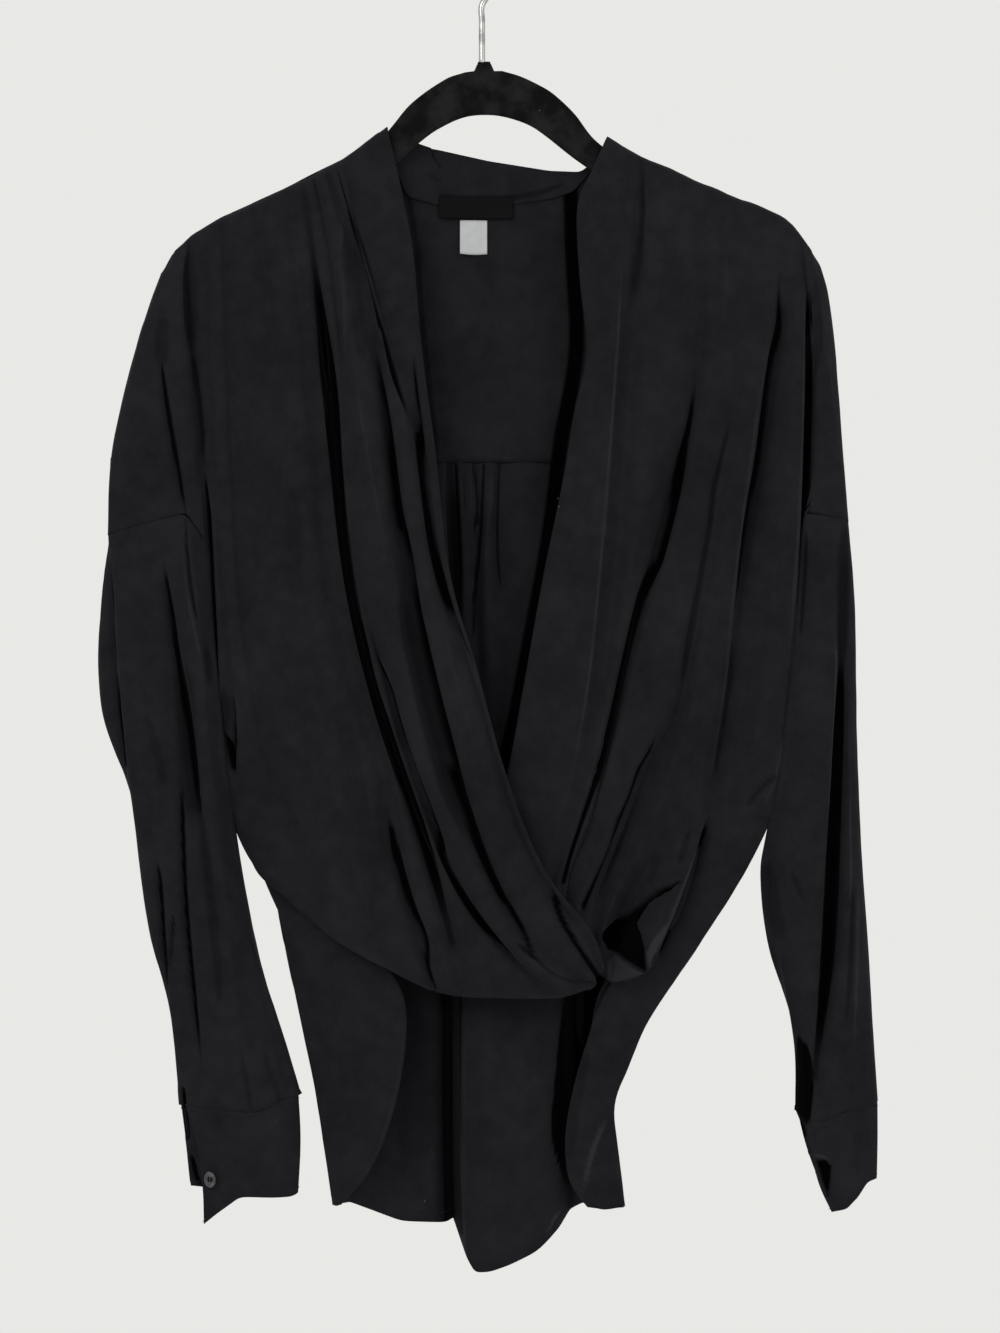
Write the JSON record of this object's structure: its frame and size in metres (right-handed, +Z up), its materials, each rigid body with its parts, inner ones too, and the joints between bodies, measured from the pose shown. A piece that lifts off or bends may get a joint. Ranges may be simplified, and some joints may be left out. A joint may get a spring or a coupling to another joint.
{
  "type": "wrap top on a hanger",
  "caption": "Drape-front wrap top with dropped shoulders, buttoned cuffs and a shirt-tail back, hanging on a velvet-covered hanger with a wire hook.",
  "frame": {"origin": "inside top of the hanger's hook, where a rail carries it", "axes": "+Z up, the front of the top faces -Y, the wearer's right side is at -X"},
  "size_m": [0.5456, 0.0774, 0.9329],
  "materials": {
    "cloth": "sueded crepe, matte with a soft nap",
    "velvet": "short black flocking",
    "steel_wire": "bright plated wire",
    "button_plastic": "dark polished button",
    "satin": "black woven satin, bare",
    "tape": "light grey printed-care tape, bare"
  },
  "bodies": {
    "root": {"hanger_body": "velvet", "hanger_hook": "steel_wire", "right_front": "cloth", "left_front": "cloth", "back_yoke": "cloth", "back_panel": "cloth", "neckband": "cloth", "right_sleeve": "cloth", "left_sleeve": "cloth", "right_cuff": "cloth", "left_cuff": "cloth", "right_cuff_button": "button_plastic", "left_cuff_button": "button_plastic", "neck_label": "satin", "care_tag": "tape"}
  },
  "joints": []
}
